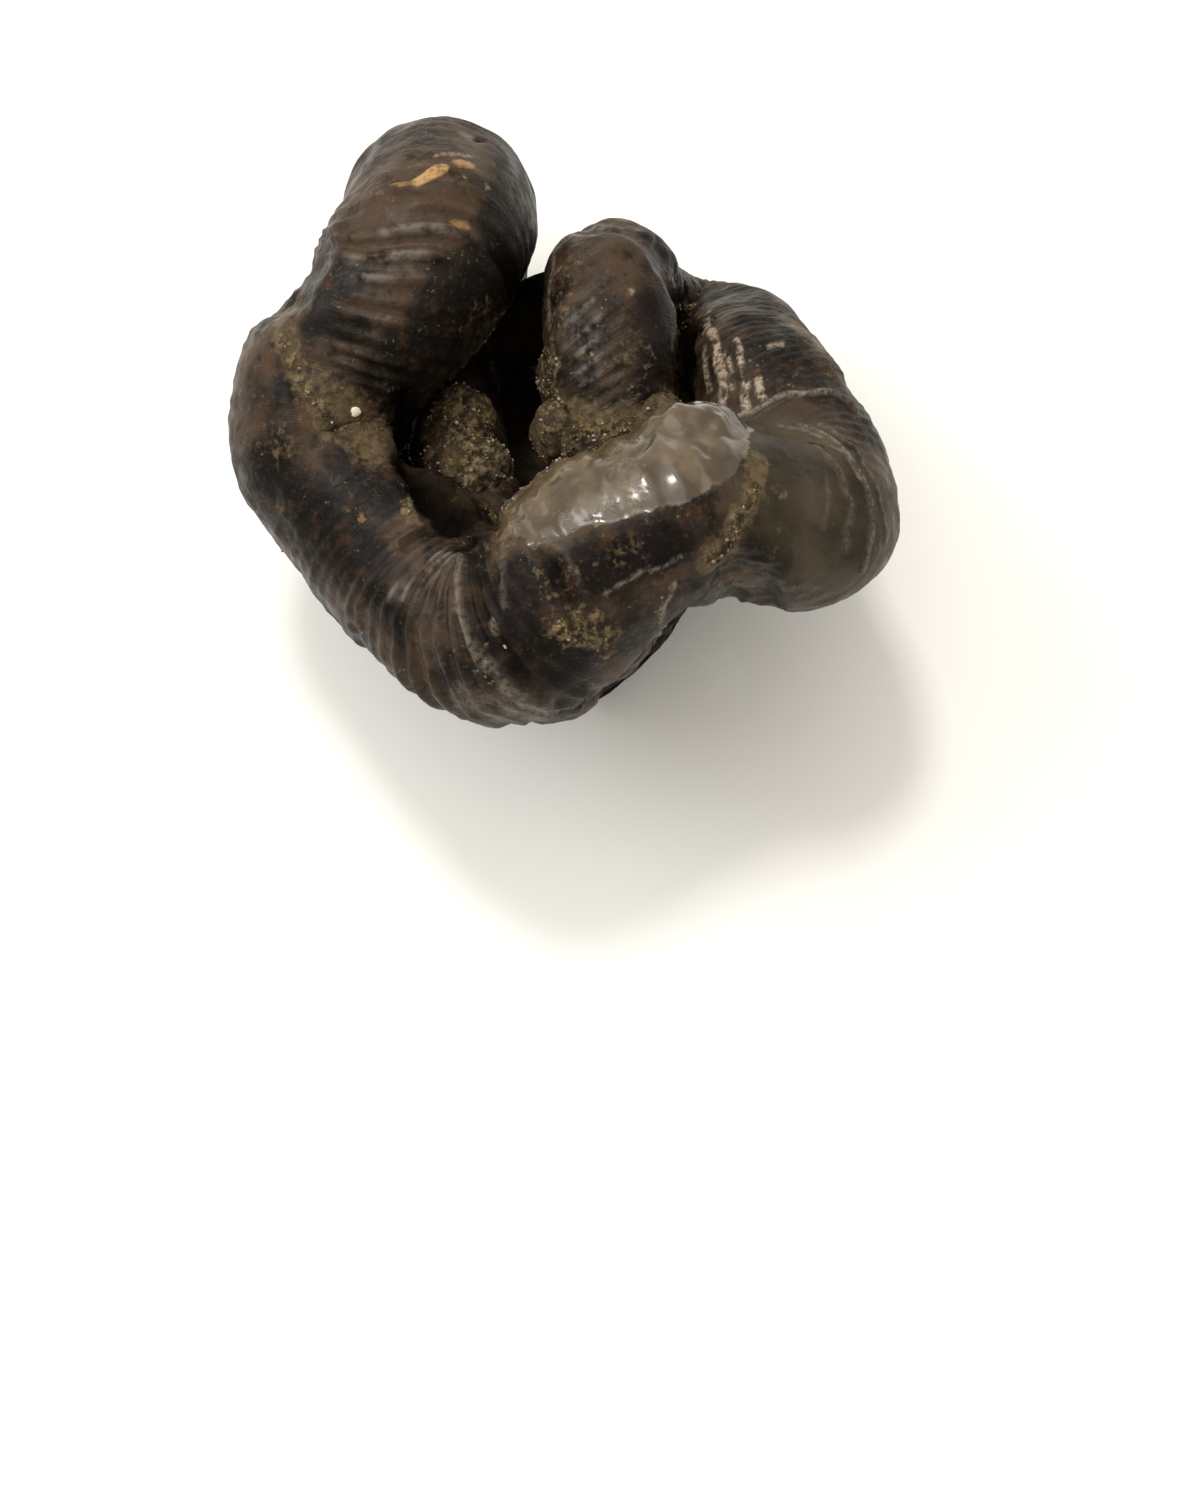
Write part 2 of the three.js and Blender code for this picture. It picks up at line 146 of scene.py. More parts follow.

# What shows on the side that faces up. To each limb: kind, half width, strength, and the points of a
# line seen from above. The strength of a swell is its height. The darkening kind is painted shade on
# the sides turned from the lamps, the black kind is painted shadow in the hole, the lightening kind is
# painted light mixed with paler brown tone, and the bluish kind is a painted glint on rib crests.
MARKS = {
    "front_limb": [
        ("smooth", 10.5, 1.0, (22, -12), (27, -17)),
        ("swell", 4.2, 2.6, (11, -6.5), (15, -6)),
        ("swell", 3.0, 0.9, (-4, -15.5), (0, -12)),
        ("swell", 2.8, -2.6, (17.5, -25), (19.5, -25.3)),
        ("swell", 3.0, -0.5, (21.5, -26), (26.5, -26)),
        ("swell", 3.5, -0.5, (30.5, -7), (32, -10), (32.6, -13)),
        ("worn", 7.0, 0.7, (4, -22), (12, -19)),
        ("painted_shade", 2.6, 1.0, (0.2, -25), (5, -23.7), (10, -22.3)),
        ("painted_shade", 2.6, 0.7, (20.6, -12), (21.5, -18), (21, -22)),
        ("painted_shade", 1.4, 0.6, (28.6, -9), (29.4, -15), (28.6, -20)),
        ("painted_light_and_tone", 3.0, 0.8, (24, -6), (28.5, -9), (31, -14)),
        ("painted_shade", 3.0, 0.7, (13, -5), (16.5, -7), (17, -12)),
        ("groove", 0.6, 0.5, (7.2, -13.3), (8.7, -10.7), (10.5, -8.6)),
        ("groove", 0.5, 0.4, (12.1, -9.3), (13, -11.6), (13.9, -13)),
        ("violet", 1.4, 1.0, (6.5, -21), (9, -21.5), (8, -23.5)),
        ("violet", 1.3, 0.8, (0.5, -23), (3, -24)),
        ("sand", 1.5, 0.9, (19, -13), (18.4, -16), (17.4, -18.9), (16.3, -21.4), (14, -23.3)),
        ("crust", 0.8, 0.8, (18.4, -16), (17.4, -18.9), (16.3, -21.4), (14.5, -23.1)),
        ("crust", 0.9, 0.9, (-4.8, -16.5), (-2.5, -14), (0.5, -12)),
        ("sand", 1.8, 0.8, (-4.5, -19.5), (-4.6, -15.5), (-1.5, -12.5)),
        ("pale", 0.2, 0.5, (11.7, -23), (9.8, -24), (8.1, -24.6), (6.3, -25.6), (4.5, -26.7)),
        ("pale", 0.22, 0.8, (9.6, -27.4), (11.3, -25.2)),
        ("ridge", 0.35, 0.8, *SHELL_EDGE),
        ("ridge", 0.5, 0.5, *INNER_EDGE),
        ("ridge", 0.3, 0.5, *OUTER_EDGE),
        ("ridge", 0.25, 0.5, (25.9, -13), (26.1, -15.8), (25.3, -18.8)),
        ("ridge", 0.3, 0.35, (22.4, -20.4), (22.6, -23)),
        ("pale", 0.16, 0.6, *SHELL_EDGE),
        ("pale", 0.14, 0.3, *INNER_EDGE),
        ("pale", 0.14, 0.5, *OUTER_EDGE),
        ("pale", 0.12, 0.5, (21.6, -6.2), (24.6, -7.6), (28, -10.4), (30, -14)),
    ],
    "right_limb": [
        ("smooth", 6.0, 1.0, (22, -9.5), (27, -12)),
        ("swell", 3.0, 0.5, (20, 21), (22, 14.3), (25, 11), (27.3, 3)),
        ("painted_shade", 3.0, 0.8, (14, 17), (19, 15), (23.5, 9.5)),
        ("painted_shade", 3.0, 0.9, (20, 8), (23, 3)),
        ("furrow", 1.3, 1.0, (13, 18), (12.5, 7), (12.6, 1), (12.8, -3)),
        ("tan", 0.5, 0.9, (15.1, 9.3), (16, 4.5), (16.3, 0.8), (16.8, -3.2)),
        ("tan", 0.4, 0.9, (18, 5), (18.6, -0.3), (18.8, -4)),
        ("tan", 0.3, 0.8, (16.9, 4.3), (17.4, -1)),
        ("tan", 0.3, 0.7, (14.6, 5.7), (15, 1.5), (15.3, -1.5)),
        ("tan", 0.45, 0.8, (19.8, -0.2), (20.3, -3)),
        ("tan", 0.4, 0.7, (15.4, 12), (15, 9.5)),
        ("tan", 0.45, 0.5, (21.2, 4), (22.4, 4.2)),
        ("ridge", 0.4, 1.0, (18.5, -4.8), (20.4, -3.7), (22.9, -2.5), (27.5, -2.1), (29.5, -4)),
        ("pale", 0.3, 0.8, (18.5, -4.8), (20.4, -3.7), (22.9, -2.6), (27, -2.2)),
        ("sand", 1.3, 0.7, (23, 9), (25, 6)),
    ],
    "left_limb": [
        ("swell", 4.0, -1.9, (-28, 8.4), (-26.6, 11)),
        ("swell", 2.4, -3.0, (-15, -4), (-14.2, -8), (-12.6, -12), (-10.4, -14.6)),
        ("swell", 2.5, -0.4, (-31, -12), (-28, -18)),
        ("worn", 7.0, 0.9, (-27, 2), (-27, -9)),
        ("worn", 5.5, 1.0, (-5, 13), (-9, 5), (-14, 0)),
        ("painted_shadow_mark", 1.9, 1.0, (-15.6, -2.5), (-15, -6), (-14.1, -9.3)),
        ("painted_shadow_mark", 3.2, 1.0, (-15.2, -7.5), (-13.2, -9.8), (-11.6, -12.3), (-9.8, -14)),
        ("painted_shade", 3.6, 0.9, (-29, -9), (-25, -14), (-20.5, -19)),
        ("painted_shade", 2.6, 0.7, (-21.5, -9), (-17.5, -13)),
        ("painted_shade", 3.6, 1.0, (-6.5, 9), (-9, 4.6), (-14, 0.5), (-17.5, -1.4)),
        ("painted_shade", 1.6, 0.9, (-24.5, 3.6), (-20, 2.6)),
        ("painted_light_and_tone", 2.6, 0.6, (-30, 2), (-31.5, -3)),
        ("painted_light_and_tone", 3.0, 0.8, (-19, 11), (-14, 12)),
        ("painted_glint", 2.2, 0.7, (-20, 8), (-15, 9.5)),
        ("painted_glint", 1.6, 0.6, (-17, 12.5), (-12, 12.5)),
        ("sand", 1.5, 1.0, (-28.9, 7.5), (-27.6, 3), (-27, 0), (-25, -3), (-23.4, -6)),
        ("sand", 3.8, 0.75, (-23.8, -3.2), (-21, -5.2), (-18.8, -7.2)),
        ("crust", 1.0, 0.6, (-27.6, 3), (-26.8, -0.4), (-24.8, -2.9), (-22.5, -6)),
        ("sand", 1.0, 0.8, (-14.9, -13.5), (-14.4, -16)),
        ("crust", 0.8, 0.6, (-20.4, -14.6), (-19.8, -15.2)),
        ("groove", 0.5, 0.35, (-28, 0.5), (-27, -3.2), (-26.2, -6.5)),
        ("white", 0.42, 1.0, (-20.7, -4.2), (-20.6, -4.3)),
        ("crust", 0.9, 0.7, (-14.4, -12), (-15, -14.5)),
    ],
    "lower_bend": [
        ("swell", 3.0, -0.8, (-11, -33.6), (-15, -31.2), (-19.5, -27)),
        ("worn", 5.0, 0.8, (-3, -26), (2, -28)),
        ("painted_shade", 3.2, 1.0, (-5, -25), (-3.2, -31), (1, -32.5)),
        ("painted_shade", 2.0, 0.6, (-16, -27), (-19, -22)),
        ("painted_light_and_tone", 2.0, 0.8, (-5.4, -20), (-6.4, -26)),
        ("pale", 0.9, 0.3, (-10.4, -33.6), (-5, -34.8)),
        ("painted_glint", 1.5, 0.9, (-15.6, -23.2), (-12.6, -21.6), (-11, -20)),
        ("painted_glint", 0.5, 0.3, (-9.6, -22), (-9.6, -26.6), (-7.6, -30.4)),
        ("crust", 2.3, 0.7, (0.8, -28.8), (3.8, -29.6)),
        ("sand", 2.4, 0.5, (0.8, -28.8), (3.8, -29.6)),
        ("furrow", 1.1, 0.45, (-8.2, -20.3), (-8.2, -26.4), (-6.2, -30), (-3.8, -32.6)),
        ("ridge", 0.55, 1.3, (-9.6, -20.3), (-9.8, -26.6), (-7.8, -30.6), (-5.3, -33.4), (-1, -35.2)),
        ("ridge", 0.7, 1.6, (-5.3, -33.4), (-3.2, -34.8), (-1, -35.2)),
        ("furrow", 0.6, 0.5, (-2.3, -22), (-0.8, -24.3), (1.1, -27.3)),
        ("ridge", 0.5, 0.7, (-5.2, -19), (-5.6, -23), (-5, -27)),
        ("ridge", 0.4, 0.6, (-0.8, -21.5), (0.8, -23.6), (2.6, -26.6)),
        ("tan", 0.5, 0.6, (-6.4, -28.4), (-6.1, -29.2)),
        ("white", 0.2, 0.7, (-5.4, -30.5), (-5.3, -30.7)),
        ("violet", 1.6, 0.7, (-18, -20), (-14.5, -22)),
        ("violet", 1.2, 0.7, (-4, -25), (-4, -29)),
        ("groove", 0.6, 0.7, (-15.5, -18.4), (-12.8, -16.9), (-9.7, -17.2)),
    ],
    "middle_limb": [
        ("swell", 2.5, -1.3, (3, 19), (6.5, 18.4), (10.4, 16), (12.4, 12)),
        ("worn", 5.5, 1.0, (4, 18), (9.5, 13), (10.5, 4)),
        ("painted_shadow_mark", 3.0, 1.0, (-2, -6), (-1.5, -12), (3, -16)),
        ("painted_shade", 2.4, 0.8, (9.7, 11), (10.4, 4), (9.4, -1.5)),
        ("painted_light_and_tone", 2.4, 0.6, (2, 12), (5, 13)),
        ("painted_glint", 2.4, 0.8, (1.6, 6.5), (2.6, 1.5)),
        ("pale", 0.3, 0.5, (-0.5, 16), (-1, 11), (-1.3, 6)),
        ("pale", 0.3, 0.3, (11.1, 11.6), (11.6, 8), (11.5, 4)),
        ("tan", 0.35, 0.5, (7, 8.4), (7.1, 8.6)),
        ("violet", 1.6, 0.7, (9, 8), (8.4, 0)),
        ("crust", 0.9, 0.9, (-1.5, 4), (-1.2, 0), (0.2, -3)),
        ("sand", 1.6, 0.8, (0, -2.5), (4, -4), (9, -3.4), (11.5, -1)),
        ("crust", 1.2, 0.6, (1, -4.6), (6, -4.9), (11.5, -2)),
    ],
    "last_limb": [
        ("swell", 5.0, -1.4, (-1, -27), (6, -24), (12, -16)),
        ("swell", 3.5, -1.0, (-2, -27), (3, -26)),
        ("painted_shadow_mark", 6.0, 1.0, (-4, 9), (-6, 3), (-8, -8)),
        ("painted_shade", 6.0, 1.0, (0, -24), (10, -20)),
    ],
    "top_bend": [
        ("worn", 6.0, 1.0, (-4, 24), (-4, 14)),
        ("worn", 7.0, 0.9, (-17, 21), (-9, 22)),
        ("painted_shade", 3.4, 0.9, (-4, 26), (-3.8, 18), (-5, 12)),
        ("painted_light_and_tone", 3.6, 1.0, (-22, 18), (-15, 20), (-9, 20)),
        ("painted_light_and_tone", 3.0, 1.0, (-17, 16), (-10, 15.5)),
        ("gold", 0.8, 1.0, (-14.3, 17.5), (-13.1, 18.6), (-11.8, 19.4)),
        ("gold", 0.6, 0.7, (-10.4, 20.6), (-9.2, 20.9)),
        ("gold", 0.4, 0.5, (-16.4, 17.2), (-15.6, 17.4)),
        ("gold", 0.5, 0.5, (-10.6, 13.2), (-9.6, 13.4)),
        ("tan", 0.4, 0.6, (-8.2, 18.1), (-7.4, 18.7)),
        ("tan", 0.3, 0.5, (-12.6, 21.6), (-9, 22.4)),
        ("groove", 0.55, 1.0, (-8.5, 26), (-8.2, 26.2)),
    ],
    "inner_limb": [
        ("painted_shadow_mark", 2.6, 1.0, (-16, -2), (-14.2, -9), (-11.8, -14), (-8.5, -19.5)),
        ("painted_shadow_mark", 2.2, 1.0, (-9, 6), (-5.5, 0), (-3.5, -6)),
        ("crust", 3.5, 0.8, (-11, 0), (-9, -7)),
    ],
    "back_arch": [
        ("painted_shade", 4.0, 0.8, (12, 18), (18, 17)),
    ],
}
# Where the shell broke away on the front limb and stone shows: its outline seen from above.
MOULD_LIMBS = ("front_limb", "lower_bend")
MOULD_OUTLINE = [
    (-4.8, -19.5), (-4.5, -14), (2, -4), (8, -1), (18, -1), (18.6, -8), (18.2, -12), (16.8, -15),
    (13.8, -17.4), (10.5, -18.9), (6.5, -20), (2.8, -20.6), (0, -21.6), (-2.4, -21.8),
]
SHOWN_KINDS = (
    "mould", "smooth", "painted_shade", "painted_light_and_tone", "painted_glint", "violet", "sand", "crust", "gold", "tan", "pale", "white",
    "furrow", "groove", "ridge",
)
KINDS = SHOWN_KINDS + ("worn", "painted_shadow_mark", "swell")
SKIN_VALUES = SHOWN_KINDS + ("rib", "growth", "crevice", "grime")

# Edges of marks.
SHARP_KINDS = ("gold", "tan", "white")  # with a broken edge; the others fade out
SHARP_EDGE = 0.15  # how wide a broken edge is
SOFT_EDGE = 0.8  # share of its half width over which any other mark fades out
FACING = (-0.35, 0.05)  # how far up the surface faces where marks fade in
SWELL_FACING = (-0.85, -0.45)

# Relief of the skin: the height of each kind of mark.
HEIGHTS = {
    "crevice": 0.45, "swell": 1.0, "ridge": 0.4, "mould": -0.12, "groove": -0.5, "furrow": -1.1,
    "pale": 0.1, "tan": 0.1, "gold": 0.1, "sand": 0.1, "white": 0.2,
}
MOULD_CALM = 0.85  # share of the middle and fine waves that the stone lacks
CRUST_THICKNESS = 0.08
RIB_SHARPNESS = 1.5  # above 1, ribs are narrower than the grooves between them
RIB_LEVEL = 0.45  # share of a rib's rise that lies below the tube's own surface
RIB_COVER = {"crust": 0.8, "sand": 0.6, "smooth": 0.85, "worn": 0.9}  # share of the ribs that each hides
MOULD_RIBS = 0.17  # rise of the low ribs on the stone

# Rock in the angles, dirt and grains.
CREVICE_REACH = 1.8  # how far from another limb rock clings in the angle
OWN_RADII = 2.4  # length of the tube, in radii and on either side, that isn't another limb
OWN_LENGTH = 2.0  # more of that length, in millimetres
GAP_FADE = 6.0  # length over which the next stretch starts to count as another limb
FAR = 99.0
SHADOWED_ARCS = (46, 66)  # arc lengths between which the painted shadow on the early coil, deep in the hole, fades
ROCK_DETAIL = 5
LARGE_ROCK_DETAIL = 6
GRAINS = 4500
GRAIN_SIZE = (0.07, 0.22)
GRAIN_STRETCH = (0.7, 1.3)
GRAIN_DENTS = 0.18
GRAIN_LIFT = 0.15  # share of its size by which a grain's middle stands above its bed
GRAIN_BED = 0.5  # how much crust a place needs to hold grains

# The mouth.
MOUTH_BACK = 0.4  # how far the mouth's ragged edge stands back from the solid's
MOUTH_BULGE = 1.6  # how far the rock stands out in its middle
MOUTH_STEP = 0.5  # how far the rock is sunk behind the shell's edge
MOUTH_EDGE = 0.06  # share of the mouth's radius that the shell's edge takes

# Noise: height, size, seed and layers, each layer half as high and half as wide as the one before.
NOISES = {
    "broad": (0.32, 8.0, 71, 1), "middle": (0.16, 3.0, 72, 1), "fine": (0.04, 1.1, 73, 3),
    "mould": (0.12, 5.0, 85, 1), "crust": (0.22, 1.2, 81, 4), "worn": (1.0, 9.0, 41, 3),
    "clinging": (1.0, 3.2, 61, 3), "patches": (1.0, 6.5, 66, 4), "broken": (1.0, 1.1, 26, 2),
    "sideways": (0.5, 2.4, 11, 3), "lengthways": (0.5, 2.4, 21, 3), "rib_height": (0.55, 1.0, 51, 1),
    "rib_drift": (0.14, 7.0, 31, 1), "rib_jitter": (0.05, 2.6, 32, 1), "mouth": (0.5, 3.0, 91, 4),
    "mouth_broad": (0.3, 7.0, 95, 1), "mouth_crust": (0.12, 2.5, 97, 3), "lump": (0.28, 2.6, 111, 3),
    "lump_grit": (0.24, 1.1, 121, 4), "lump_crust": (0.5, 3.0, 131, 4),
}
NOISE_CELLS = 32  # after which the noise repeats
TINY = 1e-9  # keeps a division from failing
BEND_SOFTNESS = 0.06  # share of the radius over which a pressed wall sets in
CROWDING = (0.15, 1.6)  # bounds of the distance between rings, where 1 is that on the tube's middle


# Noise

def noise(points, size, seed):
    """Smooth random values from -1 to 1, with bumps about size millimetres wide."""
    table = np.random.default_rng(seed).uniform(-1, 1, (NOISE_CELLS, NOISE_CELLS, NOISE_CELLS))
    place = points / size
    corner = np.floor(place).astype(np.int64)
    t = place - corner
    t = t * t * t * (t * (t * 6 - 15) + 10)
    total = np.zeros(len(points))
    for step in np.ndindex(2, 2, 2):
        index = (corner + step) % NOISE_CELLS
        weight = np.prod(np.where(np.array(step) == 1, t, 1 - t), axis=1)
        total += weight * table[index[:, 0], index[:, 1], index[:, 2]]
    return total


def waves(points, kind):
    """One of the kinds of noise in the table."""
    height, size, seed, layers = NOISES[kind]
    total = np.zeros(len(points))
    for layer in range(layers):
        total += noise(points, size / 2 ** layer, seed + layer) / 2 ** layer
    return height * total


def smooth_step(low, high, values):
    """0 up to low, 1 from high on, and a smooth rise between them."""
    t = np.clip((values - low) / (high - low), 0, 1)
    return t * t * (3 - 2 * t)


# The route

def spline(rows):
    """Place, first and second slope of the smooth curve that the rows pull on, row by row."""
    rows = np.vstack([2 * rows[0] - rows[1], rows, 2 * rows[-1] - rows[-2]])
    position = np.linspace(0, len(rows) - 3, (len(rows) - 3) * SAMPLES_PER_ROW + 1)
    row = np.minimum(position.astype(int), len(rows) - 4)
    t = (position - row)[:, None]
    bases = (
        ((1 - t) ** 3, 3 * t ** 3 - 6 * t ** 2 + 4, -3 * t ** 3 + 3 * t ** 2 + 3 * t + 1, t ** 3),
        (-3 * (1 - t) ** 2, 9 * t ** 2 - 12 * t, -9 * t ** 2 + 6 * t + 3, 3 * t ** 2),
        (6 * (1 - t), 18 * t - 12, -18 * t + 6, 6 * t),
    )
    return position, [sum(w / 6 * rows[row + k] for k, w in enumerate(basis)) for basis in bases]


def unit(vectors):
    """The same directions with a length of 1."""
    return vectors / np.maximum(np.linalg.norm(vectors, axis=-1, keepdims=True), TINY)


def follow(along):
    """A direction across each sample that turns as little as it can from one to the next."""
    across = np.zeros_like(along)
    last = np.array([0.0, 0.0, 1.0])
    for i, forward in enumerate(along):
        last = last - forward * (last @ forward)
        last = last / np.linalg.norm(last)
        across[i] = last
    return across


def first_rows():
    """The number of each limb's first row in the whole route."""
    return dict(zip(ROUTE, np.cumsum([0] + [len(limb) for limb in ROUTE.values()])))


class Route:
    """The tube's middle, sampled finely, with what the rings need at any arc length."""

    def __init__(self):
        rows = np.array([row for limb in ROUTE.values() for row in limb], float)
        rows[:, :3] -= MIDDLE
        self.position, (place, slope, turn) = spline(rows)
        self.centre = place[:, :3]
        self.radius = place[:, 3]
        speed = np.linalg.norm(slope[:, :3], axis=1)
        self.along = slope[:, :3] / speed[:, None]
        bend = turn[:, :3] - self.along * np.sum(turn[:, :3] * self.along, axis=1)[:, None]
        self.bend = bend / speed[:, None] ** 2
        self.across = follow(self.along)
        steps = np.linalg.norm(np.diff(self.centre, axis=0), axis=1)
        self.arc = np.concatenate([[0], np.cumsum(steps)])
        self.limits = self.limb_limits()
        self.pitch, self.rise, self.lean = self.rib_values()
        self.rib = np.concatenate([[0], np.cumsum(steps / self.pitch[1:])])

    def limb_limits(self):
        """Arc lengths where each limb starts and ends, half-way between its rows and the next."""
        limits = {}
        for name, first in first_rows().items():
            ends = (max(first - 0.5, 0), min(first + len(ROUTE[name]) - 0.5, self.position[-1]))
            limits[name] = tuple(np.interp(ends, self.position, self.arc))
        return limits

    def rib_values(self):
        """Pitch, rise and lean of the ribs at each sample."""
        first = first_rows()
        places = [first[limb] + row for limb, rows in RIBS.items() for row in rows]
        table = [values for rows in RIBS.values() for values in rows.values()]
        return [np.interp(self.position, places, column) for column in zip(*table)]

    def at(self, arc, name):
        """A value of the route at the given arc lengths."""
        values = getattr(self, name)
        if values.ndim == 1:
            return np.interp(arc, self.arc, values)
        return np.stack([np.interp(arc, self.arc, column) for column in values.T], axis=1)

    def ring_places(self, start, end, gap):
        """Arc lengths of rings that keep the gap on the tube's outer side, with one more at each end."""
        tightness = 1 + np.linalg.norm(self.bend, axis=1) * self.radius
        count = np.concatenate([[0], np.cumsum(np.diff(self.arc) * tightness[1:] / gap)])
        first, last = np.interp((start, end), self.arc, count)
        rings = int(round(last - first))
        step = (last - first) / rings
        marks = first + step * np.arange(-1, rings + 2)
        return np.interp(marks, count, self.arc)


route = Route()


# Marks and relief

def line_distance(places, line):
    """Distance from each place, seen from above, to a line through several points."""
    line = np.array(line, float)
    nearest = np.full(len(places), np.inf)
    for start, end in zip(line[:-1], line[1:]):
        span = end - start
        share = np.clip((places - start) @ span / max(span @ span, TINY), 0, 1)
        away = places - start - share[:, None] * span
        nearest = np.minimum(nearest, np.hypot(away[:, 0], away[:, 1]))
    return nearest


def area_value(places, outline):
    """1 inside an outline and 0 outside it, with a narrow step between."""
    outline = np.array(outline, float)
    inside = np.zeros(len(places), bool)
    for (x1, y1), (x2, y2) in zip(outline, np.roll(outline, -1, axis=0)):
        level = (y1 > places[:, 1]) != (y2 > places[:, 1])
        crossing = x1 + (places[:, 1] - y1) * (x2 - x1) / ((y2 - y1) or TINY)
        inside ^= level & (places[:, 0] < crossing)
    away = line_distance(places, np.vstack([outline, outline[:1]]))
    return smooth_step(-0.5, 0.5, np.where(inside, away, -away))


def near_limbs(one, other):
    """Whether a limb is another limb or the next one to it."""
    limbs = list(ROUTE)
    return abs(limbs.index(one) - limbs.index(other)) <= 1


def mark_share(places, wander, kind, width, line):
    """1 within a mark's half width of its line, and less towards its edge."""
    away = line_distance(places + wander * min(1.0, 0.35 + 0.3 * width), line)
    soft = SHARP_EDGE if kind in SHARP_KINDS else width * SOFT_EDGE
    return 1 - smooth_step(width - soft, width + soft * 0.3, away)


def mark_values(points, upward, limb):
    """How strongly each kind of mark shows at each point of a limb."""
    wander = np.stack([waves(points, "sideways"), waves(points, "lengthways")], axis=1)
    broken = smooth_step(-0.55, -0.1, waves(points, "broken"))
    facing = smooth_step(*FACING, upward)
    values = {kind: np.zeros(len(points)) for kind in KINDS}
    for name, marks in MARKS.items():
        if not near_limbs(name, limb):
            continue
        for kind, width, strength, *line in marks:
            shown = strength * mark_share(points[:, :2], wander, kind, width, line)
            if kind == "swell":
                values[kind] += shown * smooth_step(*SWELL_FACING, upward)
            elif kind == "tan":
                values[kind] = np.maximum(values[kind], shown * facing * broken)
            else:
                values[kind] = np.maximum(values[kind], shown * facing)
    if limb in MOULD_LIMBS:
        values["mould"] = facing * area_value(points[:, :2] + 0.5 * wander, MOULD_OUTLINE)
    return values


def gap_to_others(points, arc):
    """Distance from each point to the nearest other stretch of the tube, and below zero inside it."""
    stride = 8
    centres, radii, arcs = route.centre[::stride], route.radius[::stride], route.arc[::stride]
    gap = np.full(len(points), FAR)
    at_once = 20000
    for first in range(0, len(points), at_once):
        part = slice(first, first + at_once)
        square = sum((points[part, None, axis] - centres[None, :, axis]) ** 2 for axis in range(3))
        away = np.sqrt(square) - radii
        apart = np.abs(arcs - arc[part, None]) - OWN_RADII * radii - OWN_LENGTH
        gap[part] = np.where(apart < 0, FAR, away + np.maximum(0, GAP_FADE - apart)).min(axis=1)
    return gap


def flattened(offset, bend, radius):
    """Offsets from the middle, pressed flat near the middle of a bend, and how wide apart rings are."""
    tightness = np.linalg.norm(bend, axis=1)
    inward = unit(bend)
    reach = np.sum(offset * inward[:, None], axis=2)
    limit = (BEND_LIMIT / np.maximum(tightness, TINY))[:, None]
    softness = BEND_SOFTNESS * radius[:, None]
    excess = softness * np.logaddexp(0, (reach - limit) / softness)
    offset = offset - excess[:, :, None] * inward[:, None]
    crowding = 1 - tightness[:, None] * np.sum(offset * inward[:, None], axis=2)
    return offset, np.clip(crowding, *CROWDING)


def skin_grid(limb, arcs, sides):
    """Points of the skin, ring by ring, and what the surface is like at each of them."""
    angle = np.linspace(0, 2 * math.pi, sides, endpoint=False)
    along = unit(route.at(arcs, "along"))
    across = unit(route.at(arcs, "across"))
    up = np.cross(along, across)
    radius = route.at(arcs, "radius")
    outward = across[:, None] * np.cos(angle)[None, :, None] + up[:, None] * np.sin(angle)[None, :, None]
    offset, crowding = flattened(outward * radius[:, None, None], route.at(arcs, "bend"), radius)
    base = (route.at(arcs, "centre")[:, None] + offset).reshape(-1, 3)
    push = outward.reshape(-1, 3)
    crowding = crowding.ravel()
    lean = offset[:, :, 0] * route.at(arcs, "lean")[:, None] / route.at(arcs, "pitch")[:, None]
    count = (route.at(arcs, "rib")[:, None] + lean).ravel()
    count = count + waves(base, "rib_drift") + waves(base, "rib_jitter")
    values = mark_values(base, push[:, 2], limb)
    add_rock_and_shade(values, base, push[:, 2], np.repeat(arcs, sides))
    rise = np.repeat(route.at(arcs, "rise"), sides) * np.minimum(1.15 * crowding, 1.0)
    values["rib"], ribs = rib_relief(values, base, count, rise)
    values["growth"] = count
    height = (ribs + surface_relief(values, base)) * np.minimum(1.0, 0.3 + crowding)
    points = base + push * height[:, None]
    return points.reshape(len(arcs), sides, 3), values


def add_rock_and_shade(values, base, upward, arc):
    """Rock in the angles between limbs and in loose patches on the sides that face down, and painted shade.
    """
    # Closeness to another limb: rock clings there, and the same value darkens the angle as painted shade.
    values["crevice"] = 1 - smooth_step(0.2, CREVICE_REACH, gap_to_others(base, arc))
    # Painted shadow: black on the marked places and on the early coil deep in the hole.
    values["grime"] = np.maximum(values["painted_shadow_mark"], 1 - smooth_step(*SHADOWED_ARCS, arc))
    clinging = smooth_step(-0.6, 0.5, waves(base, "clinging"))
    patches = smooth_step(0.25, 0.75, waves(base, "patches"))
    lower = smooth_step(0.1, -0.5, upward)
    values["crust"] = np.maximum(values["crust"], values["crevice"] * clinging)
    values["crust"] = np.maximum(values["crust"], (0.25 + 0.5 * lower) * patches)


def rib_relief(values, base, count, rise):
    """How much of a rib crest shows at each point, and the height that the ribs give it."""
    place = np.stack([0.45 * count, np.full(len(count), 3.0), np.zeros(len(count))], axis=1)
    uneven = 0.85 + waves(place, "rib_height")
    worn = smooth_step(-0.6, 0.4, waves(base, "worn"))
    cover = np.clip(sum(share * values[kind] for kind, share in RIB_COVER.items()), 0, 1)
    shown = rise * uneven * (0.25 + 0.95 * worn) * (1 - 0.93 * cover) + MOULD_RIBS * values["mould"]
    wave = (0.5 + 0.5 * np.cos(2 * math.pi * count)) ** RIB_SHARPNESS
    crest = wave * np.clip(shown / 0.25, 0, 1) * (1 - values["mould"])
    return crest, shown * (wave - RIB_LEVEL)


def surface_relief(values, base):
    """Height of everything on the skin but its ribs."""
    plain = 1 - MOULD_CALM * values["mould"]
    height = waves(base, "broad") + plain * waves(base, "middle") + plain * waves(base, "fine")
    height += values["crust"] * (CRUST_THICKNESS + waves(base, "crust"))
    height += values["mould"] * waves(base, "mould")
    return height + sum(step * values[kind] for kind, step in HEIGHTS.items())


